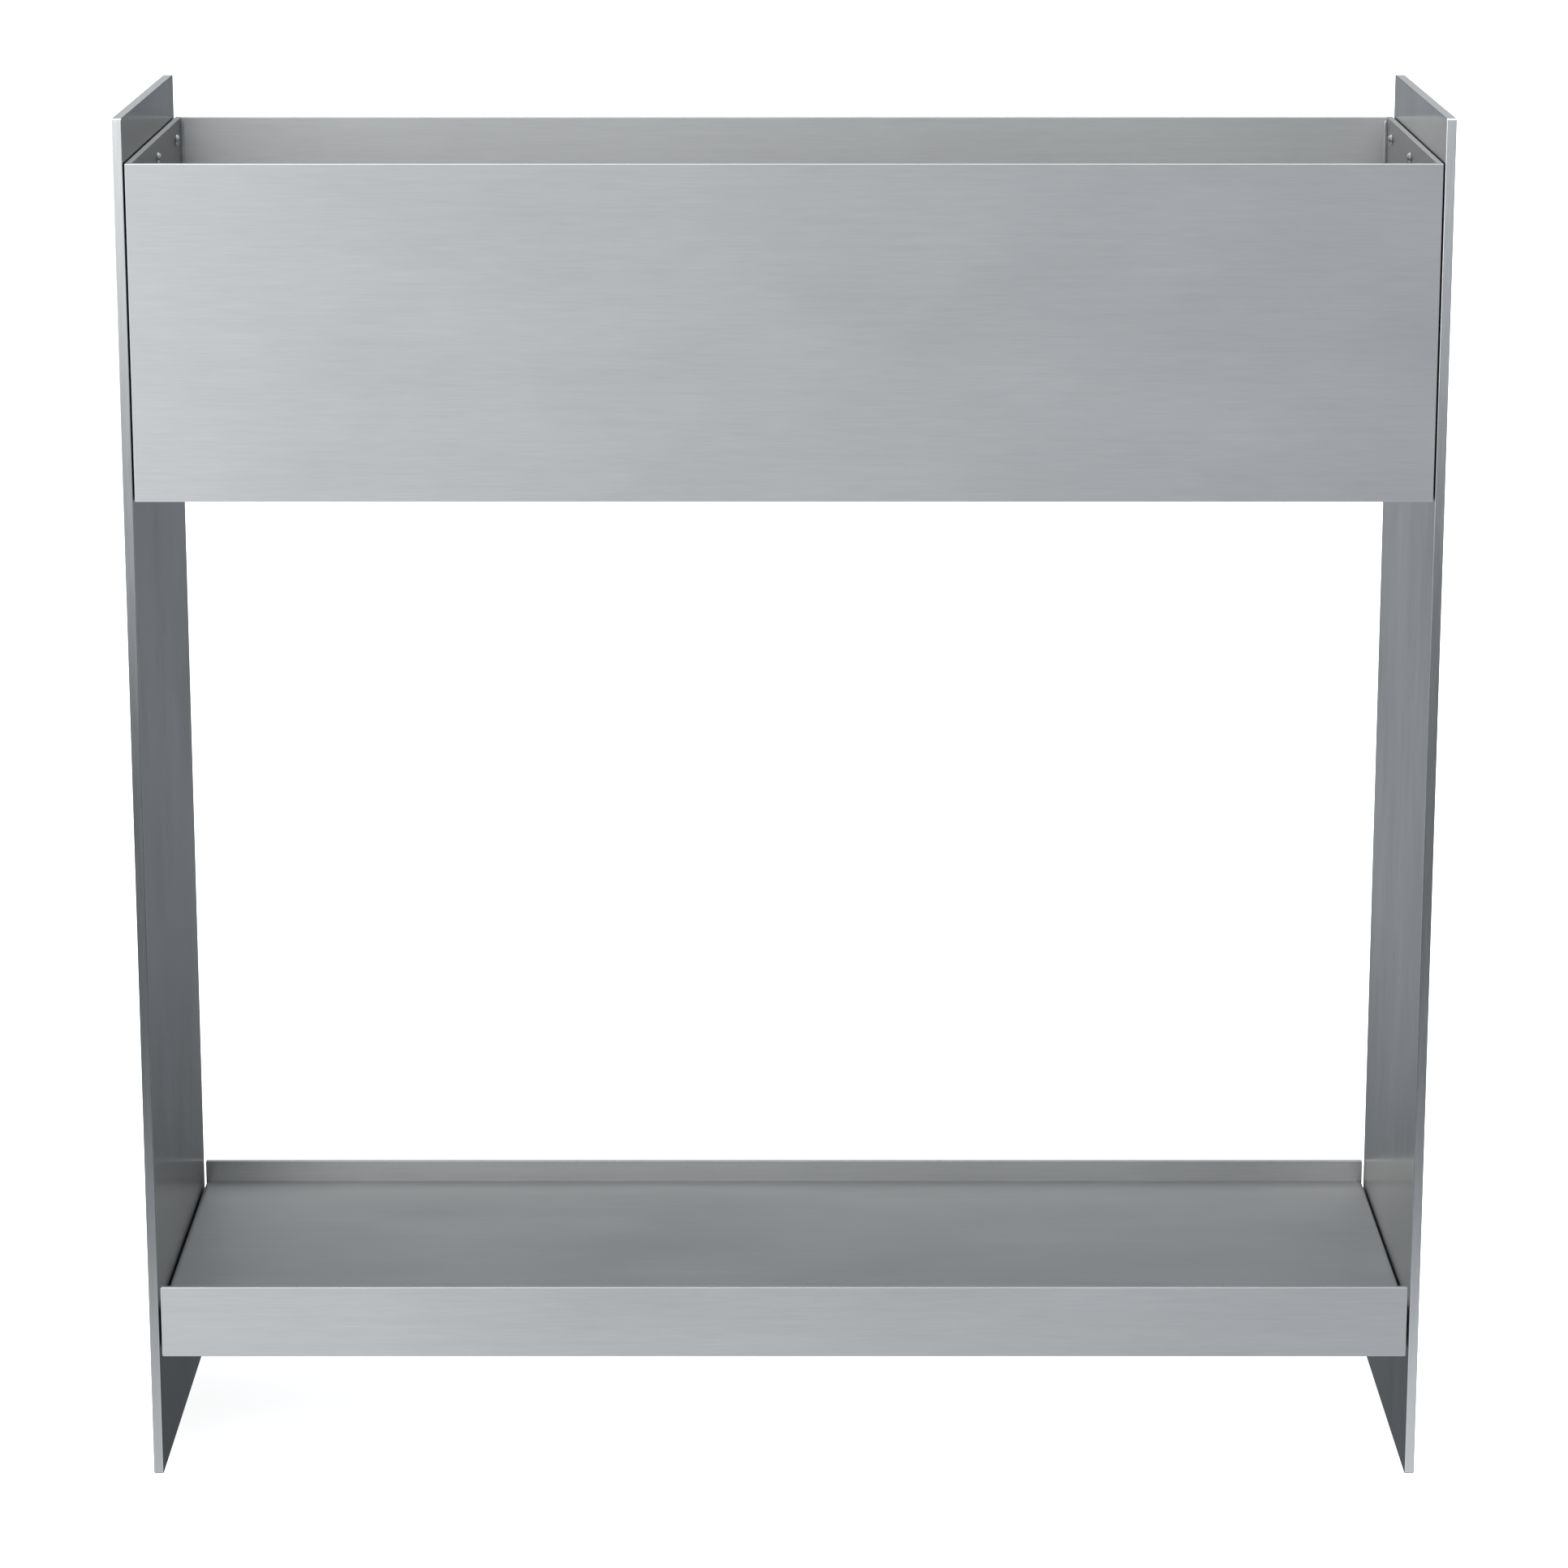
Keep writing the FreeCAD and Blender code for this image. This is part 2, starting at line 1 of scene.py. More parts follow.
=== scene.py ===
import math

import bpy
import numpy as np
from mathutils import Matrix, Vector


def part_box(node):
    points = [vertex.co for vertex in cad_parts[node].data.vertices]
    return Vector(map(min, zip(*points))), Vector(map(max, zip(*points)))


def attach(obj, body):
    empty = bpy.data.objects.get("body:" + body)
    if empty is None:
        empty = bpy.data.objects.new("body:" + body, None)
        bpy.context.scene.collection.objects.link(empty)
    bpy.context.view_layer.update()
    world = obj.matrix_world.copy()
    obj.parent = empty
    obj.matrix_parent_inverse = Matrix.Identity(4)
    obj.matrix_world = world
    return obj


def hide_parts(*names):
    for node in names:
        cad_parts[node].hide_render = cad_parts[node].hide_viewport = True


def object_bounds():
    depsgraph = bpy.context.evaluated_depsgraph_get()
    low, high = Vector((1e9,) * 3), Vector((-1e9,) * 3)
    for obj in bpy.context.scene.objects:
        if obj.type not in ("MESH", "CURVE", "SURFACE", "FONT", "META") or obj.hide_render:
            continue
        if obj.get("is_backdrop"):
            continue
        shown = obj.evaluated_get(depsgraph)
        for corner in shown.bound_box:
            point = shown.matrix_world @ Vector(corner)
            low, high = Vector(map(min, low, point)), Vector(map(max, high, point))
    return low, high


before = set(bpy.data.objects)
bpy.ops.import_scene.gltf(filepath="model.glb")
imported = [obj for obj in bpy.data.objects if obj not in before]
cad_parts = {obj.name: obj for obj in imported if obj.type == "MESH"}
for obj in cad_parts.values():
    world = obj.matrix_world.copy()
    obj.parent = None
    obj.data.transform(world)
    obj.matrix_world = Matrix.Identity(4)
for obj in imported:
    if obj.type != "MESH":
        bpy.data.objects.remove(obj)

# %% [markdown]
# # A raised planter in brushed aluminium
#
# The real object is a plant stand. Two plain plates stand on edge as its legs. A long open box hangs
# between them for the soil, and a tray with two low lips sits near the ground. Everything is flat
# aluminium plate, brushed with an abrasive belt, so its whole character lies in three things: the grain
# of the brushing, the thin bright lines along the cut edges, and the dark gaps where two pieces don't
# quite touch.
#
# The plates, the folded tray and their holes come in from the CAD model and are left as they are. This
# script gives them their finish. It also makes the small things whose shape matters close up: screws
# with a socket and a thread, washers with rounded rims, and the seams where plates are welded.

MM = 0.001
cad_low, cad_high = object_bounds()
print("loaded", len(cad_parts), "pieces,", [round(side / MM) for side in cad_high - cad_low], "mm")

# %% [markdown]
# ## The camera
#
# Furniture is often shown straight from the front, from a little above, through a long lens. The long
# lens keeps the two legs almost parallel, and the height lets the eye see into the box and onto the
# tray. The camera is turned down by a fixed angle instead of being aimed with a constraint, because one
# angle is easier to read. A small lens shift then drops the object to the middle of the frame.

# %% Make the camera
CAMERA_DISTANCE = 3.0
CAMERA_HEIGHT = 1.186
CAMERA_TILT = math.radians(13.3)
FOCAL_LENGTH = 111
LENS_SHIFT = -0.055

camera = bpy.data.objects.new("front_camera", bpy.data.cameras.new("front_camera"))
bpy.context.scene.collection.objects.link(camera)
bpy.context.scene.camera = camera
camera.location = (0, -CAMERA_DISTANCE, CAMERA_HEIGHT)
camera.rotation_euler = (math.pi / 2 - CAMERA_TILT, 0, 0)
camera.data.lens = FOCAL_LENGTH
camera.data.shift_y = LENS_SHIFT
print("camera", CAMERA_DISTANCE, "m away, tilted", round(math.degrees(CAMERA_TILT), 1), "degrees down")

# %% [markdown]
# ## Shader maths as plain expressions
#
# A finish is worked out by a chain of nodes. Wiring them one by one hides the idea, so two small helpers
# are defined first. A `Wire` is a socket that can be added, multiplied and so on, and each operation
# puts one Math node into the tree. A `Graph` is a node tree with one method, `node`, that adds any other
# kind of node: its settings are applied first, then its sockets get a value or a link.

# %% Wires
class Wire:
    """An output socket. Arithmetic on it adds Math nodes and gives the result's socket."""

    def __init__(self, graph, socket):
        self.graph = graph
        self.socket = socket

    def __add__(self, other):
        return self.graph.math("ADD", self, other)

    def __radd__(self, other):
        return self.graph.math("ADD", other, self)

    def __sub__(self, other):
        return self.graph.math("SUBTRACT", self, other)

    def __rsub__(self, other):
        return self.graph.math("SUBTRACT", other, self)

    def __mul__(self, other):
        return self.graph.math("MULTIPLY", self, other)

    def __rmul__(self, other):
        return self.graph.math("MULTIPLY", other, self)

    def __pow__(self, other):
        return self.graph.math("POWER", self, other)

    def __rpow__(self, other):
        return self.graph.math("POWER", other, self)

    def __abs__(self):
        return self.graph.math("ABSOLUTE", self)


print("wires ready")

# %% Graphs and materials
class Graph:
    """A node tree that is filled by one method, and by the arithmetic of its wires."""

    def __init__(self, tree):
        self.tree = tree
        self.tree.nodes.clear()

    def node(self, kind, settings=None, inputs=None, output=0):
        """Add a node, apply its settings, fill its sockets, and give one of its outputs."""
        made = self.tree.nodes.new(kind)
        for name, value in (settings or {}).items():
            setattr(made, name, value)
        for name, value in (inputs or {}).items():
            if isinstance(value, Wire):
                self.tree.links.new(value.socket, made.inputs[name])
            else:
                made.inputs[name].default_value = value
        return Wire(self, made.outputs[output]) if len(made.outputs) else None

    def math(self, operation, *values):
        """Add one Math node."""
        return self.node("ShaderNodeMath", {"operation": operation}, dict(enumerate(values)))

    def ramp(self, value, start, end):
        """Rise smoothly from 0 to 1 while the value goes from start to end."""
        span = {"Value": value, "From Min": start, "From Max": end}
        return self.node("ShaderNodeMapRange", {"interpolation_type": "SMOOTHSTEP"}, span)

    def bump(self, height, strength, depth):
        """Tilt the light as if the surface rose by the height times the depth in metres."""
        inputs = {"Height": height, "Strength": strength, "Distance": depth}
        return self.node("ShaderNodeBump", inputs=inputs)

    def mix(self, share, first, second):
        """Go from the first colour to the second while the share goes from 0 to 1."""
        colours = {"Factor": share, 6: first, 7: second}
        return self.node("ShaderNodeMix", {"data_type": "RGBA"}, colours, output=2)


def start_material(name):
    """Make a material with an empty node tree, and the graph that fills it."""
    material = bpy.data.materials.new(name)
    material.use_nodes = True
    return material, Graph(material.node_tree)


print("graphs ready")

# %% [markdown]
# ## Studio light
#
# Brushed metal has hardly any colour of its own: it shows a blurred picture of the room. So a studio has
# big soft boxes, the rest of the room is left dim, and the shape comes from where the bright and dim
# parts fall. Area lamps could do this, and would also bring noise. Here the room is
# painted straight onto the sky instead. A lamp is a tall soft band. It depends on the heading alone, as
# the cosine of the angle to the lamp's bearing, raised to a power that narrows it.
#
# What lies below eye level matters as much, because an upright plate that is seen from above mirrors
# it. The lamps in front fade out towards their feet, which leaves a dark band on the legs, and below
# that a strip of lit floor makes them bright again. The lamps behind reach lower. Shade is a little
# bluer than lamplight. The eye itself sees plain white behind the object.

# %% Place the lamps
# A lamp is its bearing in degrees, its narrowness and its strength. Bearing 0 is in front of the
# object, and 90 is at its right.
FRONT_LAMPS = {
    "key": (-27, 24, 3.25),
    "wash": (-20, 1.5, 0.55),
    "right side": (92, 8, 0.5),
    "left side": (-88, 8, 0.4),
}
REAR_LAMPS = {"left rear": (-135, 8, 0.80), "right rear": (135, 8, 0.5)}
LIT_FLOOR = (-5, 3, 0.80)
OVERHEAD_NARROWNESS = 3
OVERHEAD_STRENGTH = 1.9
# A light fades between two heights, each given as the sine of the angle above eye level. A share is
# what is left of it past the end of its fade.
LAMP_FOOT = (-0.26, -0.05)
REAR_FOOT = (-0.36, -0.26)
REAR_SHARE = 0.1
LAMP_TOP = (0.40, 0.05)
TOP_SHARE = 0.45
FLOOR_EDGE = (-0.353, -0.33)
ROOM_GLOW = 0.10
WHITE = (1, 1, 1, 1)
BACKDROP_WHITE = 1.1
SHADE_TINT = (0.93, 1.0, 1.075, 1)
LAMP_TINT = (0.98, 1.0, 1.0, 1)
TINT_RANGE = (0.4, 1.4)
print("studio has", len(FRONT_LAMPS) + len(REAR_LAMPS), "tall lamps")


# %% Paint the studio onto the sky
def lamp(sky, heading, bearing, narrowness, strength):
    """Light that depends on the heading alone, so that it is as tall as the room.

    It is the strength times the cosine of the angle to the lamp's bearing, raised to the narrowness.
    """
    turn = math.radians(bearing)
    aim = (math.sin(turn), -math.cos(turn), 0)
    facing = sky.node(
        "ShaderNodeVectorMath", {"operation": "DOT_PRODUCT"}, {0: heading, 1: aim}, output="Value"
    )
    return sky.math("MAXIMUM", facing, 0) ** narrowness * strength


def paint_studio():
    """Light the scene with the lamps and the lit floor, and show the eye a white backdrop."""
    world = bpy.data.worlds.new("studio")
    bpy.context.scene.world = world
    world.use_nodes = True
    sky = Graph(world.node_tree)
    direction = sky.node("ShaderNodeTexCoord", output="Generated")
    height = sky.node("ShaderNodeSeparateXYZ", inputs={0: direction}, output="Z")
    level = sky.node("ShaderNodeVectorMath", {"operation": "MULTIPLY"}, {0: direction, 1: (1, 1, 0)})
    heading = sky.node("ShaderNodeVectorMath", {"operation": "NORMALIZE"}, {0: level})
    front = sum(lamp(sky, heading, *facts) for facts in FRONT_LAMPS.values())
    rear = sum(lamp(sky, heading, *facts) for facts in REAR_LAMPS.values())
    rear = rear * (REAR_SHARE + (1 - REAR_SHARE) * sky.ramp(height, *REAR_FOOT))
    overhead = sky.math("MAXIMUM", height, 0) ** OVERHEAD_NARROWNESS * OVERHEAD_STRENGTH
    near_floor = lamp(sky, heading, *LIT_FLOOR) * (1 - sky.ramp(height, *FLOOR_EDGE))
    front = front * sky.ramp(height, *LAMP_FOOT)
    front = front * (TOP_SHARE + (1 - TOP_SHARE) * sky.ramp(height, *LAMP_TOP))
    glow = ROOM_GLOW + front + rear + overhead + near_floor
    tint = sky.mix(sky.ramp(glow, *TINT_RANGE), SHADE_TINT, LAMP_TINT)
    room = sky.node("ShaderNodeBackground", inputs={"Color": tint, "Strength": glow})
    backdrop = sky.node("ShaderNodeBackground", inputs={"Color": WHITE, "Strength": BACKDROP_WHITE})
    eye = sky.node("ShaderNodeLightPath", output="Is Camera Ray")
    shown = sky.node("ShaderNodeMixShader", inputs={0: eye, 1: room, 2: backdrop})
    sky.node("ShaderNodeOutputWorld", inputs={"Surface": shown})


paint_studio()
bpy.context.scene.view_settings.view_transform = "Standard"
print("studio painted with", len(bpy.context.scene.world.node_tree.nodes), "nodes")

# %% [markdown]
# ## The floor
#
# The stand is shown on a white sweep of paper, so bright that only the faintest contact shadow is left.
# The floor is one flat sheet far larger than the view. Lamps strong enough to burn it out would also
# burn out the metal, so the paper glows by itself, and one wide, soft lamp above adds the shadow.
# Neither the lamp nor the paper shows in glossy surfaces, so the metal still mirrors only the studio.

# %% Lay the floor and light it
FLOOR_HALF = 16.0
FLOOR_TONE = 0.86
FLOOR_GLOW = 0.86
PAPER_LAMP_STRENGTH = 0.8
PAPER_LAMP_SPREAD = math.radians(120)


def lay_floor():
    """Make a square sheet on the ground, in matt white paper that glows a little."""
    mesh = bpy.data.meshes.new("paper_floor")
    square = FLOOR_HALF * np.array([(-1, -1, 0), (1, -1, 0), (1, 1, 0), (-1, 1, 0)])
    mesh.from_pydata(square.tolist(), [], [(0, 1, 2, 3)])
    floor = bpy.data.objects.new("paper_floor", mesh)
    bpy.context.scene.collection.objects.link(floor)
    material, paper = start_material("white_paper")
    surface = paper.node(
        "ShaderNodeBsdfPrincipled",
        inputs={
            "Base Color": (FLOOR_TONE, FLOOR_TONE, FLOOR_TONE, 1),
            "Roughness": 1,
            "Specular IOR Level": 0,
            "Emission Color": WHITE,
            "Emission Strength": FLOOR_GLOW,
        },
    )
    paper.node("ShaderNodeOutputMaterial", inputs={"Surface": surface})
    mesh.materials.append(material)
    floor.visible_glossy = False
    floor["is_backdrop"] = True


def hang_floor_lamp():
    """Add a very soft lamp straight above, which the metal doesn't mirror."""
    hung = bpy.data.objects.new("floor_lamp", bpy.data.lights.new("floor_lamp", "SUN"))
    bpy.context.scene.collection.objects.link(hung)
    hung.data.energy = PAPER_LAMP_STRENGTH
    hung.data.angle = PAPER_LAMP_SPREAD
    hung.visible_glossy = False


lay_floor()
hang_floor_lamp()
print("floor laid,", 2 * FLOOR_HALF, "m square")

# %% [markdown]
# ## Brushed aluminium
#
# The plate is drawn past an abrasive belt, which scratches it all one way. Up close the scratches are
# hair-thin streaks a few centimetres long. From further off they merge into soft bands and clouds,
# where the belt pressed harder. Along the arrises, where two faces meet, the belt rounds and polishes
# the metal, and a thin lighter line is painted into the colour there. It is partly the polish and partly
# a painted highlight for the light that the rounded edge catches. The upper rims are sanded by hand, so
# that nobody is scratched: they are rough, even and lighter.
#
# An image of scratches would stretch and repeat. Noise that is squeezed across the grain and drawn out
# along it gives the same streaks at every scale, and reads the piece's own coordinates, so it runs on
# unbroken from a face over its edge. Three such noises are used: hair streaks, wider streaks and clouds.
# They feed the colour, the roughness and a very shallow bump. The scratches too fine to draw smear the
# reflections across the grain, which is what the shader's anisotropy does. At a grazing angle the
# shader mirrors almost everything, which looks too bright here, so its edge tint is lowered.

# %% The patterns of the brushing
# Streaks per metre along the grain and across it, the noise's detail, and what is added to the seed.
HAIR_STREAK = (40, 1300, 2, 0)
WIDE_STREAK = (9, 260, 2, 3)
CLOUD = (7, 16, 3, 5)
# Noise runs from 0 to 1, about this middle. The seed moves it by these factors along the three axes.
NOISE_MIDDLE = 0.5
SEED_SPREAD = (1, 1.7, 2.3)
ARRIS_BAND = 0.7 * MM
RIM_DEPTH = 0.1 * MM


def squeezed(graph, place, grain, seed, along, across, detail, offset):
    """Noise around 0 whose cells are 1/along metres long down the grain and 1/across metres wide."""
    scale = [across, across, across]
    scale[grain] = along
    start = [factor * (seed + offset) for factor in SEED_SPREAD]
    moved = graph.node(
        "ShaderNodeMapping", inputs={"Vector": place, "Location": start, "Scale": scale}
    )
    noise = graph.node("ShaderNodeTexNoise", inputs={"Vector": moved, "Scale": 1, "Detail": detail})
    return noise - NOISE_MIDDLE


def arris_mask(graph, place, low, high):
    """Give 1 along the arrises of a plate, where two of its faces meet, and 0 elsewhere.

    The distance to the nearest pair of opposite faces is, on each axis, half the size less the
    distance from the middle. On a face one of the three distances is nothing. The middle one of the
    three is then the distance to the nearest arris.
    """
    separate = graph.node("ShaderNodeSeparateXYZ", inputs={0: place}).socket.node.outputs
    gaps = [
        (high[axis] - low[axis]) / 2 - abs(Wire(graph, separate[axis]) - (low[axis] + high[axis]) / 2)
        for axis in range(3)
    ]
    smaller = graph.math("MINIMUM", gaps[0], gaps[1])
    larger = graph.math("MAXIMUM", gaps[0], gaps[1])
    middle = graph.math("MAXIMUM", smaller, graph.math("MINIMUM", larger, gaps[2]))
    return 1 - graph.ramp(middle, ARRIS_BAND / 2, ARRIS_BAND)


def rim_mask(graph, place, high):
    """Give 1 on the upper face of a plate and 0 elsewhere."""
    height = graph.node("ShaderNodeSeparateXYZ", inputs={0: place}, output="Z")
    return 1 - graph.ramp(high[2] - height, 0, RIM_DEPTH)


across_mm, along_mm = (round(1000 / HAIR_STREAK[side], 2) for side in (1, 0))
print("hair streaks are", across_mm, "mm wide and", along_mm, "mm long")

# %% The brushed finish
ALONG_X, ALONG_Y, ALONG_Z = range(3)
QUARTER_TURN = 0.25
# An even mix of the dark and the light tone, and what each pattern adds to it and to the roughness.
EVEN_MIX = 0.5
HAIR_TONE = 0.6
WIDE_TONE = 0.3
CLOUD_TONE = 0.5
# Along the arrises the colour is lighter, partly for the polish and partly as a painted highlight.
ARRIS_POLISH_AND_HIGHLIGHT = 0.5
TONE_SPREAD = 0.14
HAIR_GRIT = 0.04
CLOUD_GRIT = 0.06
ARRIS_POLISH = 0.06
# The shares of the two streaks in the relief, and its depth.
HAIR_RELIEF = 0.6
WIDE_RELIEF = 0.4
RELIEF_STRENGTH = 0.1
RELIEF_DEPTH = 0.05 * MM
GRAZING_TINT = (0.68, 0.68, 0.68, 1)
RIM_ROUGHNESS = 0.6
RIM_COLOUR = (0.5, 0.5, 0.5, 1)


def brushed(name, box, grain, seed, roughness, stretch, tone, sanded):
    """Make brushed aluminium with its grain along one axis.

    Its lightness is an even mix plus a share of each pattern, and its roughness is its own value plus
    smaller shares. The stretch smears reflections level on an upright face. A quarter turn makes that
    upright, which is right for a level grain. A sanded plate gets the hand finish on its upper rim.
    """
    turn = 0 if grain == ALONG_Z else QUARTER_TURN
    material, graph = start_material(name)
    place = graph.node("ShaderNodeTexCoord", output="Object")
    hair = squeezed(graph, place, grain, seed, *HAIR_STREAK)
    wide = squeezed(graph, place, grain, seed, *WIDE_STREAK)
    cloud = squeezed(graph, place, grain, seed, *CLOUD)
    arris = arris_mask(graph, place, *box)
    streaks = hair * HAIR_TONE + wide * WIDE_TONE + cloud * CLOUD_TONE
    # The arris band adds a painted highlight to the real polish along the edges.
    lightness = EVEN_MIX + streaks + arris * ARRIS_POLISH_AND_HIGHLIGHT
    # The tone, which carries each plate's painted light and shade, sets the dark and the light colour.
    dark, light = ((tone * level,) * 3 + (1,) for level in (1 - TONE_SPREAD, 1 + TONE_SPREAD))
    height = hair * HAIR_RELIEF + wide * WIDE_RELIEF
    surface = graph.node(
        "ShaderNodeBsdfPrincipled",
        inputs={
            "Base Color": graph.mix(lightness, dark, light),
            "Metallic": 1,
            "Roughness": roughness + hair * HAIR_GRIT + cloud * CLOUD_GRIT - arris * ARRIS_POLISH,
            "Normal": graph.bump(height, RELIEF_STRENGTH, RELIEF_DEPTH),
            "Anisotropic": stretch,
            "Anisotropic Rotation": turn,
            "Specular Tint": GRAZING_TINT,
        },
    )
    if sanded:
        rim = rim_mask(graph, place, box[1])
        ground = graph.node(
            "ShaderNodeBsdfPrincipled",
            inputs={"Base Color": RIM_COLOUR, "Metallic": 1, "Roughness": RIM_ROUGHNESS},
        )
        surface = graph.node("ShaderNodeMixShader", inputs={0: rim, 1: surface, 2: ground})
    graph.node("ShaderNodeOutputMaterial", inputs={"Surface": surface})
    return material


def corners(node):
    """Give a CAD piece's lowest and highest corners as arrays."""
    low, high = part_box(node)
    return np.array(low), np.array(high)


print("finish ready, with relief", round(RELIEF_DEPTH * RELIEF_STRENGTH / MM, 3), "mm deep")

# %% [markdown]
# ## Finishing each plate
#
# Sheet is brushed along its longest side before it is cut, so the grain follows the length of each
# piece: sideways on the long walls, the tray and its lips, upright on the legs, and front to back on the
# short end walls of the box. Every plate gets a seed of its own, since no two sheets come off the belt
# alike. All are the same metal, but roughness and tone are set plate by plate, so that each one comes
# out right under the painted studio, whose lamps are only roughly those of a real one. So the tones that
# differ from plate to plate are painted light and shade: the dark end walls carry painted shade from
# inside the box, and the two legs differ by painted light and shade. The smear is left off level plates
# and the short walls, where the shader's own direction would run in circles.

# %% Give every plate its grain
# Grain, roughness, stretch of the reflections, tone with painted light and shade in it, and whether the
# upper rim is sanded.
PLATES = {
    "side_panel_left": (ALONG_Z, 0.22, 0.85, 0.62, True),
    "side_panel_right": (ALONG_Z, 0.22, 0.85, 0.78, True),
    "planter_front_wall": (ALONG_X, 0.36, 0.85, 0.61, True),
    "planter_back_wall": (ALONG_X, 0.52, 0.85, 0.70, True),
    "planter_end_left": (ALONG_Y, 0.30, 0, 0.40, True),
    "planter_end_right": (ALONG_Y, 0.30, 0, 0.40, True),
    "planter_floor": (ALONG_X, 0.42, 0, 0.6, False),
    "shelf_floor": (ALONG_X, 0.42, 0, 0.49, False),
    "shelf_front_rail": (ALONG_X, 0.36, 0.85, 0.60, True),
    "shelf_back_rail": (ALONG_X, 0.34, 0.6, 0.58, True),
}

SEED_STEP = 11.3
for number, (node, (grain, *touch)) in enumerate(PLATES.items()):
    finish = brushed("brushed_" + node, corners(node), grain, SEED_STEP * number, *touch)
    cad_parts[node].material_slots[0].material = finish
print("finished", len(PLATES), "plates")

# %% [markdown]
# ## Surfaces from arrays
#
# Every small piece below is a row of rings: a section that is turned round an axis or carried along a
# path. The corners of all the rings are worked out at once, as one array of rows by columns, and the
# faces join each ring to the next. Each end is closed by a fan of triangles to its middle. The volume
# that the faces enclose is measured afterwards: it comes out positive only if they all face outwards.

# %% Turn an array of rings into a closed piece
SHARP_ANGLE = math.radians(38)
FULL_TURN = 2 * math.pi


def enclosed_volume(points, triangles):
    """Add up the signed volume of the wedges from the origin to each triangle."""
    first, second, third = (points[triangles[:, corner]] for corner in range(3))
    return float(np.sum(first * np.cross(second, third)) / 6)


def stack_corners(x, y, z):
    """Stretch three arrays to one grid, and put them together as its corners' x, y and z."""
    return np.stack(np.broadcast_arrays(x, y, z), axis=-1)


def ring_piece(name, rings, material, looped=False):
    """Join rings of corners, an array of rows, columns and x y z, into a closed mesh.

    Row i and row i + 1 are joined by quads. The last row is joined to the first if the piece is
    looped. Otherwise a middle point closes each end.
    """
    rows, columns = rings.shape[:2]
    points = rings.reshape(-1, 3)
    row = np.arange(rows if looped else rows - 1)[:, None]
    column = np.arange(columns)[None, :]
    following = (column + 1) % columns
    upper = (row + 1) % rows
    quads = np.stack(
        [
            row * columns + column,
            row * columns + following,
            upper * columns + following,
            upper * columns + column,
        ],
        axis=-1,
    ).reshape(-1, 4)
    fans = np.zeros((0, 3), int)
    if not looped:
        points = np.vstack([points, rings[0].mean(0), rings[-1].mean(0)])
        around, onward = column[0], following[0]
        start = np.stack([np.full(columns, len(points) - 2), onward, around], axis=-1)
        last = (rows - 1) * columns
        end = np.stack([np.full(columns, len(points) - 1), last + around, last + onward], axis=-1)
        fans = np.vstack([start, end])
    triangles = np.vstack([quads[:, [0, 1, 2]], quads[:, [0, 2, 3]], fans])
    if enclosed_volume(points, triangles) < 0:
        raise ValueError(name + " is inside out")
    mesh = bpy.data.meshes.new(name)
    mesh.from_pydata(points.tolist(), [], quads.tolist() + fans.tolist())
    mesh.materials.append(material)
    mesh.shade_smooth()
    mesh.set_sharp_from_angle(angle=SHARP_ANGLE)
    piece = bpy.data.objects.new(name, mesh)
    bpy.context.scene.collection.objects.link(piece)
    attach(piece, "root")
    return piece


print("ring pieces ready")

# %% [markdown]
# ## Screw steel
#
# The screws are stainless and turned, so their marks run in rings round the axis, and they are a little
# darker than the aluminium. A noise that reads only the distance from the screw's own axis gives the
# rings, in the tone and in a shallow relief that breaks up the highlight. A second one adds specks.

# %% The finish of a screw
STEEL_DARK = (0.34, 0.345, 0.35, 1)
STEEL_LIGHT = (0.56, 0.56, 0.565, 1)
STEEL_ROUGHNESS = 0.28
# Turning rings and specks per metre, what they add to the tone and the roughness, and the relief.
RING_SCALE = 9000
SPECK_SCALE = 900
RING_TONE = 0.9
SPECK_TONE = 0.5
SPECK_GRIT = 0.12
RING_RELIEF = (0.15, 0.02 * MM)


def turned_steel(name, axis_y, axis_z):
    """Make stainless steel with fine turning rings round an axis along X."""
    material, graph = start_material(name)
    place = graph.node("ShaderNodeTexCoord", output="Object")
    centred = graph.node(
        "ShaderNodeMapping",
        inputs={"Vector": place, "Location": (0, -axis_y, -axis_z), "Scale": (0, 1, 1)},
    )
    radius = graph.node("ShaderNodeVectorMath", {"operation": "LENGTH"}, {0: centred}, output="Value")
    rings = {"W": radius, "Scale": RING_SCALE}
    turned = graph.node("ShaderNodeTexNoise", {"noise_dimensions": "1D"}, rings) - NOISE_MIDDLE
    specks = {"Vector": place, "Scale": SPECK_SCALE}
    mottle = graph.node("ShaderNodeTexNoise", inputs=specks) - NOISE_MIDDLE
    lightness = EVEN_MIX + turned * RING_TONE + mottle * SPECK_TONE
    surface = graph.node(
        "ShaderNodeBsdfPrincipled",
        inputs={
            "Base Color": graph.mix(lightness, STEEL_DARK, STEEL_LIGHT),
            "Metallic": 1,
            "Roughness": STEEL_ROUGHNESS + mottle * SPECK_GRIT,
            "Normal": graph.bump(turned, *RING_RELIEF),
        },
    )
    graph.node("ShaderNodeOutputMaterial", inputs={"Surface": surface})
    return material


print("steel ready, with rings", round(1000 / RING_SCALE, 2), "mm apart")

# %% [markdown]
# ## Button-head screws
#
# A button-head screw is forged with a low dome and a hexagon socket, and its thread is rolled. It is one
# surface of revolution from the middle of the socket's floor, out over the dome, down the shank and
# round the tip, with two exceptions: the socket's walls are a hexagon, and the thread climbs as it goes
# round. Both are a radius that depends on the angle, so a grid of angle by distance along the profile
# takes them all.

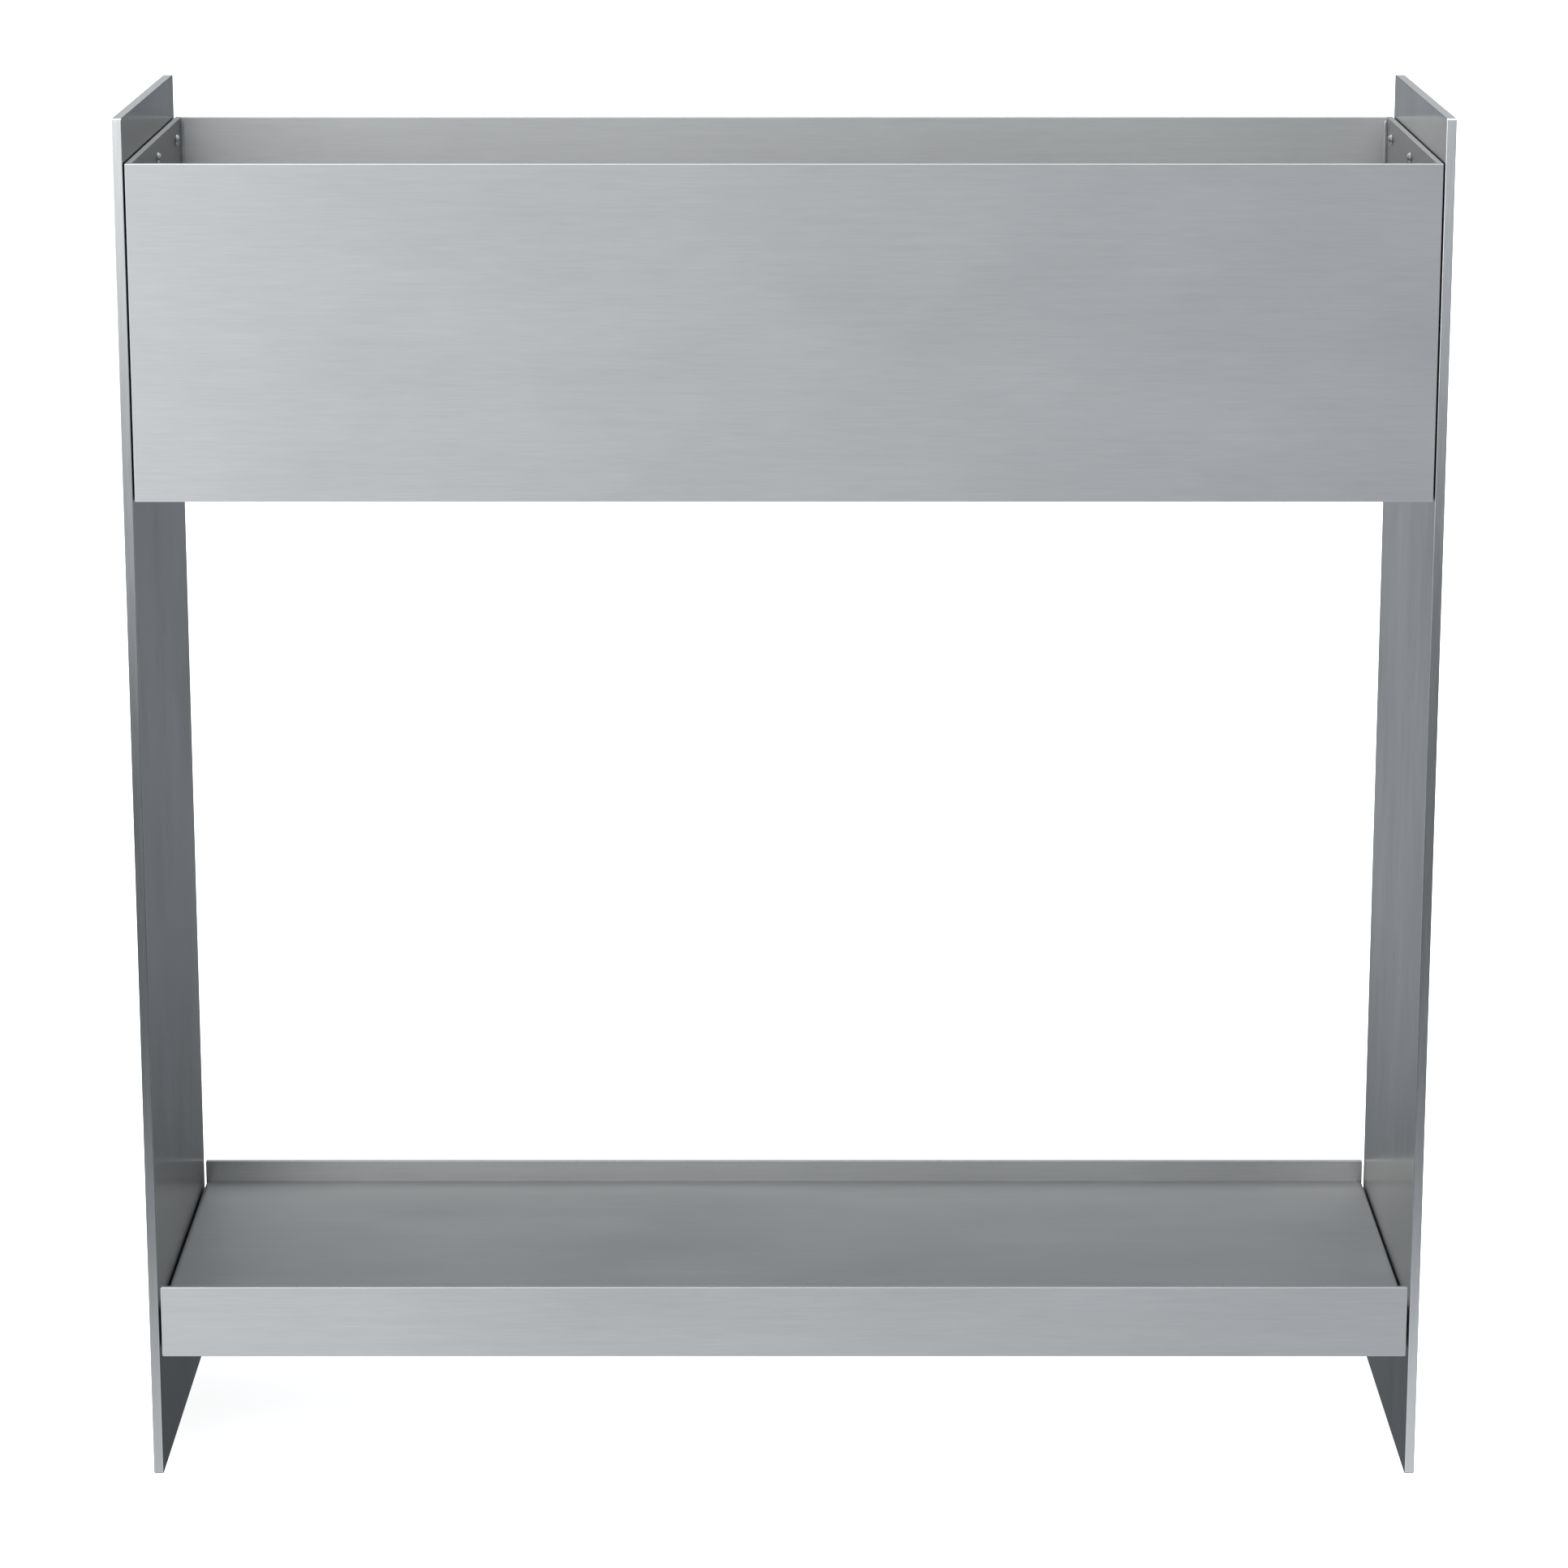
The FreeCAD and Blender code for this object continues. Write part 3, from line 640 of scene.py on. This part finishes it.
# %% Shape the socket, the dome and the thread
THREAD_RADIUS = 2.0 * MM
THREAD_PITCH = 0.7 * MM
THREAD_DEPTH = 0.38 * MM
SOCKET_FLATS = 2.5 * MM
SOCKET_DEPTH = 1.3 * MM
SOCKET_POINT = 0.35 * MM
SOCKET_CHAMFER = 0.12 * MM
HEAD_FLAT = 1.9 * MM
HEAD_HEIGHT = 2.2 * MM
HEAD_EDGE = 0.15 * MM
TIP_CHAMFER = 0.5 * MM
# The socket's floor closes in to this share of the hexagon, at this share of its point's depth.
POINT_SHARE = 0.1
POINT_DEPTH_SHARE = 0.9
SHANK_START = HEAD_HEIGHT + 0.1 * MM
SCREW_COLUMNS = 48
DOME_ROWS = 12
TURN_ROWS = 8


def hexagon_radius(angle, flats):
    """Distance from the middle to a hexagon's side: half its flats over the cosine off the flat."""
    side = FULL_TURN / 6
    off_flat = (angle + side / 2) % side - side / 2
    return flats / 2 / np.cos(off_flat)


def dome_rows(head_radius):
    """Follow the arc from the flat of the head to its rim.

    Its middle is on the axis. It passes the flat at depth 0 and the rim at the head's height, less a
    small edge.
    """
    drop = HEAD_HEIGHT - HEAD_EDGE
    middle = (drop**2 + head_radius**2 - HEAD_FLAT**2) / (2 * drop)
    arc = math.hypot(middle - drop, head_radius)
    depth = np.linspace(0, drop, DOME_ROWS)[:, None]
    return depth, np.sqrt(arc**2 - (depth - middle) ** 2)


def thread_rows(angle, start, end):
    """Give the threaded shank: a ridge that moves on by one pitch in each turn.

    The ridge is a triangle wave of distance over pitch less angle over a turn. It fades in below the
    head, and the chamfer at the tip cuts it off.
    """
    rows = int((end - start) / THREAD_PITCH * TURN_ROWS)
    depth = np.linspace(start, end, rows)[:, None]
    phase = depth / THREAD_PITCH - angle[None, :] / FULL_TURN
    ridge = 1 - 2 * np.abs(phase % 1 - 0.5)
    fade = np.clip((depth - start) / THREAD_PITCH, 0, 1)
    radius = THREAD_RADIUS - THREAD_DEPTH * fade * (1 - ridge)
    tip = THREAD_RADIUS - TIP_CHAMFER + (end - depth)
    return depth, np.minimum(radius, tip)


print("a thread is", THREAD_DEPTH / MM, "mm deep and climbs", THREAD_PITCH / MM, "mm in a turn")


# %% Put the bands of a screw together
def rows_of(*values):
    """Put a few values under each other, one to a row."""
    return np.array(values)[:, None]


def screw_profile(angle, head_radius, length):
    """Give depth and radius at every angle, from the socket's floor round to the middle of the tip.

    The profile is a list of bands. Each is a depth and a radius, which are stretched over all angles.
    """
    hexagon = hexagon_radius(angle, SOCKET_FLATS)
    bands = [
        (rows_of(SOCKET_DEPTH + SOCKET_POINT * POINT_DEPTH_SHARE), POINT_SHARE * hexagon),
        (rows_of(SOCKET_DEPTH, SOCKET_CHAMFER), hexagon),
        (rows_of(0), SOCKET_FLATS / math.sqrt(3) + SOCKET_CHAMFER),
        dome_rows(head_radius),
        (rows_of(HEAD_HEIGHT, HEAD_HEIGHT), rows_of(head_radius - HEAD_EDGE, THREAD_RADIUS)),
        thread_rows(angle, SHANK_START, length),
        (rows_of(length), (THREAD_RADIUS - TIP_CHAMFER) / 2),
    ]
    stretched = [stack_corners(depth, radius, angle) for depth, radius in bands]
    profile = np.vstack(stretched)
    return profile[..., 0], profile[..., 1]


def make_screw(node):
    """Build the screw that stands for a CAD screw, on the same axis and of the same length.

    The depth is laid off along X, and the radius times the angle's cosine and sine along Y and Z.
    """
    low, high = corners(node)
    side = 1 if low[0] > 0 else -1
    head_x = low[0] if side > 0 else high[0]
    axis_y, axis_z = (low[1:] + high[1:]) / 2
    angle = np.linspace(0, FULL_TURN, SCREW_COLUMNS, endpoint=False)
    depth, radius = screw_profile(angle, (high[2] - low[2]) / 2, high[0] - low[0])
    rings = stack_corners(
        head_x + side * depth,
        axis_y + side * radius * np.cos(angle),
        axis_z + radius * np.sin(angle),
    )
    steel = turned_steel(node + "_steel", axis_y, axis_z)
    piece = ring_piece(node + "_turned", rings, steel)
    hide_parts(node)
    return piece


screws = [make_screw(node) for node in sorted(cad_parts) if "_screw_" in node]
print("made", len(screws), "screws of", len(screws[0].data.polygons), "faces")

# %% [markdown]
# ## Spacer washers
#
# A thin nylon washer on each screw keeps the box and the tray one millimetre off the legs, so that wet
# metal doesn't sit against metal. It is stamped and tumbled, which rounds its rims. Its section is a
# rectangle whose corners are softened by a superellipse: the cosine and sine of an angle, each raised to
# a small power. The section is carried round the screw's axis, and the last ring joins the first.

# %% Make the washers
SPACER_BORE = 2.25 * MM
SPACER_SQUARENESS = 0.22
SPACER_SECTION = 20
SPACER_ROWS = 56
NYLON_DARK = (0.018, 0.019, 0.02, 1)
NYLON_LIGHT = (0.05, 0.052, 0.055, 1)
NYLON_ROUGHNESS = 0.5
NYLON_SCALE = 1400
NYLON_GRIT = 0.2
NYLON_RELIEF = (0.2, 0.03 * MM)


def nylon():
    """Make matt dark nylon, very slightly mottled."""
    material, graph = start_material("dark_nylon")
    place = graph.node("ShaderNodeTexCoord", output="Object")
    grains = {"Vector": place, "Scale": NYLON_SCALE, "Detail": 3}
    mottle = graph.node("ShaderNodeTexNoise", inputs=grains)
    surface = graph.node(
        "ShaderNodeBsdfPrincipled",
        inputs={
            "Base Color": graph.mix(mottle, NYLON_DARK, NYLON_LIGHT),
            "Roughness": NYLON_ROUGHNESS + mottle * NYLON_GRIT,
            "Normal": graph.bump(mottle, *NYLON_RELIEF),
        },
    )
    graph.node("ShaderNodeOutputMaterial", inputs={"Surface": surface})
    return material


def softened(value):
    """Push a cosine or sine towards plus or minus 1, and keep its sign."""
    return np.sign(value) * np.abs(value) ** SPACER_SQUARENESS


def make_washer(node, material):
    """Build the washer that stands for a CAD spacer.

    Its radius is halfway between bore and rim, plus the softened cosine of the section's angle times
    half their difference. Across the washer it is the softened sine times half the thickness.
    """
    low, high = corners(node)
    middle = (low + high) / 2
    rim = (high[2] - low[2]) / 2
    turn = np.linspace(0, FULL_TURN, SPACER_ROWS, endpoint=False)[:, None]
    section = np.linspace(FULL_TURN, 0, SPACER_SECTION, endpoint=False)[None, :]
    radius = (rim + SPACER_BORE) / 2 + (rim - SPACER_BORE) / 2 * softened(np.cos(section))
    across = (high[0] - low[0]) / 2 * softened(np.sin(section))
    rings = stack_corners(
        middle[0] + across,
        middle[1] + radius * np.cos(turn),
        middle[2] + radius * np.sin(turn),
    )
    piece = ring_piece(node + "_rounded", rings, material, looped=True)
    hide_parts(node)
    return piece


spacer_nylon = nylon()
washers = [make_washer(node, spacer_nylon) for node in sorted(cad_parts) if "_spacer_" in node]
print("made", len(washers), "washers")

# %% [markdown]
# ## Welded seams
#
# The box holds wet soil, so its five plates are welded along every inside corner. A bead drawn along a
# corner settles into a hollow fillet. It is never quite even, because a hand moves the torch. The
# section has its square corner in the corner of the box, and an arc that bows towards it. Its width
# swells and shrinks a little along the way, by a sum of waves that don't repeat together.

# %% The section and the finish of a weld
BEAD_WIDTH = 2.0 * MM
BEAD_COLUMNS = 9
BEAD_STEP = 1.0 * MM
# For each wave: its length divided by a full turn's angle, its share of the width, and the factor
# that its seed is multiplied by.
BEAD_WAVES = [(23 * MM, 0.05, 1), (7.1 * MM, 0.04, 2.3), (0.55 * MM, 0.025, 0.7)]
WELD_DARK = (0.46, 0.465, 0.47, 1)
WELD_LIGHT = (0.66, 0.665, 0.67, 1)
WELD_ROUGHNESS = 0.3
CLOUD_ROUGHNESS = 0.15
# Clouds and grit per metre.
WELD_CLOUDS = 180
WELD_GRIT = 1500
WELD_RELIEF = (0.2, 0.05 * MM)


def bead_section():
    """Give the bead's outline: its square corner, then an arc bowed towards it, at width 1.

    The arc's middle is the point (1, 1), so it starts along one plate and ends along the other.
    """
    turn = np.linspace(0, math.pi / 2, BEAD_COLUMNS)
    arc = np.stack([1 - np.sin(turn), 1 - np.cos(turn)], axis=-1)
    return np.vstack([[0, 0], arc[::-1]])


def uneven(distance, seed):
    """Vary a bead's width by a few percent: 1 plus three sine waves that don't repeat together."""
    return 1 + sum(
        share * np.sin(distance / length + factor * seed) for length, share, factor in BEAD_WAVES
    )


def weld_metal():
    """Make weld metal: about the plate's colour, but cloudy and without a grain."""
    material, graph = start_material("weld_metal")
    place = graph.node("ShaderNodeTexCoord", output="Object")
    clouds = {"Vector": place, "Scale": WELD_CLOUDS, "Detail": 4}
    cloud = graph.node("ShaderNodeTexNoise", inputs=clouds)
    grit = graph.node("ShaderNodeTexNoise", inputs={"Vector": place, "Scale": WELD_GRIT, "Detail": 2})
    surface = graph.node(
        "ShaderNodeBsdfPrincipled",
        inputs={
            "Base Color": graph.mix(cloud, WELD_DARK, WELD_LIGHT),
            "Metallic": 1,
            "Roughness": WELD_ROUGHNESS + cloud * CLOUD_ROUGHNESS,
            "Normal": graph.bump(grit, *WELD_RELIEF),
        },
    )
    graph.node("ShaderNodeOutputMaterial", inputs={"Surface": surface})
    return material


weld = weld_metal()
section = bead_section()
print("a bead is", BEAD_WIDTH / MM, "mm wide, drawn with", len(section), "points round its section")

# %% Weld the inside corners of the planter
end_low, end_high = corners("planter_end_right")
INNER_X = end_low[0]
INNER_Y = end_high[1]
FLOOR_TOP = corners("planter_floor")[1][2]
RIM = end_high[2]
BEAD_STOP = 1.2 * MM
TAPER_END = 0.15
SEAM_SEED_STEP = 1.7
FLOOR_BEAD_STEPS = 400


def upright_bead(name, side_x, side_y, seed):
    """Run a bead up one inside corner.

    Close under the rim its width is multiplied by the square root of what is left over the width.
    """
    height = np.arange(0, RIM - BEAD_STOP - FLOOR_TOP, BEAD_STEP)[:, None]
    left = RIM - BEAD_STOP - FLOOR_TOP - height
    taper = np.sqrt(np.clip(left / BEAD_WIDTH, TAPER_END, 1))
    width = BEAD_WIDTH * uneven(height, seed) * taper
    order = slice(None, None, -side_x * side_y)
    inset_x = width * section[order, 0][None, :]
    inset_y = width * section[order, 1][None, :]
    rings = stack_corners(
        side_x * (INNER_X - inset_x),
        side_y * (INNER_Y - inset_y),
        FLOOR_TOP + height,
    )
    return ring_piece(name, rings, weld)


def floor_bead(name, seed):
    """Run a bead round the floor of the box.

    A point goes round a square, from -1 to 1 both ways. Multiplying it by the half length and half
    depth, less the section's inset, mitres the corners of the rectangle by itself.
    """
    walk = np.arange(4 * FLOOR_BEAD_STEPS)
    side = walk // FLOOR_BEAD_STEPS
    share = walk % FLOOR_BEAD_STEPS / FLOOR_BEAD_STEPS * 2 - 1
    square_x = np.choose(side, [share, 1, -share, -1])[:, None]
    square_y = np.choose(side, [-1, share, 1, -share])[:, None]
    distance = walk[:, None] * (INNER_X + INNER_Y) / FLOOR_BEAD_STEPS
    width = BEAD_WIDTH * uneven(distance, seed)
    inset = width * section[::-1, 0][None, :]
    lift = width * section[::-1, 1][None, :]
    rings = stack_corners(
        square_x * (INNER_X - inset), square_y * (INNER_Y - inset), FLOOR_TOP + lift
    )
    return ring_piece(name, rings, weld, looped=True)


seams = [floor_bead("planter_floor_seam", 1.9)]
for number, (end, side_x) in enumerate({"left": -1, "right": 1}.items()):
    for face, side_y in {"front": -1, "back": 1}.items():
        seed = SEAM_SEED_STEP * number + side_y
        seams.append(upright_bead(f"planter_seam_{end}_{face}", side_x, side_y, seed))
print("welded", len(seams), "seams inside the planter")

# %% [markdown]
# ## Stitch welds under the tray
#
# The lips of the tray are flat bars that stand along the folded sheet. Short welds underneath hold them,
# out of sight, with gaps between them so that the heat doesn't warp the sheet. Each is the same hollow
# bead, but its width follows a half circle along its length, so it starts and ends at almost nothing.

# %% Stitch the lips to the tray
STITCH_LENGTH = 22 * MM
STITCHES = 5
STITCH_ROWS = 60
STITCH_END = 0.02
sheet_high = corners("shelf_floor")[1]
rail_high = corners("shelf_front_rail")[1]
SHEET_THICKNESS = 2 * MM
SHEET_UNDERSIDE = sheet_high[2] - SHEET_THICKNESS
RAIL_INNER = -rail_high[1]


def stitch(name, middle, side_y, seed):
    """Lay one short bead under the sheet, against a lip's inner face.

    Its width is multiplied by the square root of 1 less the square of the way along it, from -1 to 1,
    and a little more than 1 keeps the ends open.
    """
    run = np.linspace(-1, 1, STITCH_ROWS)[:, None]
    distance = run * STITCH_LENGTH / 2
    width = BEAD_WIDTH * uneven(distance, seed) * np.sqrt(1 + STITCH_END - run**2)
    order = slice(None, None, -side_y)
    inset = width * section[order, 0][None, :]
    drop = width * section[order, 1][None, :]
    rings = stack_corners(
        middle + distance, side_y * (RAIL_INNER - inset), SHEET_UNDERSIDE - drop
    )
    return ring_piece(name, rings, weld)


reach = sheet_high[0] * (1 - 1 / STITCHES)
for face, side_y in {"front": -1, "back": 1}.items():
    for number, middle in enumerate(np.linspace(-reach, reach, STITCHES)):
        stitch(f"tray_weld_{face}_{number + 1}", middle, side_y, seed=number + side_y)
print("stitched", 2 * STITCHES, "welds under the tray")

# %% [markdown]
#
# Nothing that was added may make the object bigger. The box of the loaded model and the box of all that
# is shown now are measured, and how far the second stands out of the first is printed.

# %% Measure how far the finished model grew, and finish
shown_low, shown_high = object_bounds()
growth = max(max(cad_low - shown_low), max(shown_high - cad_high))
print("the finished model stands proud of the CAD box by", round(growth / MM, 3), "mm")
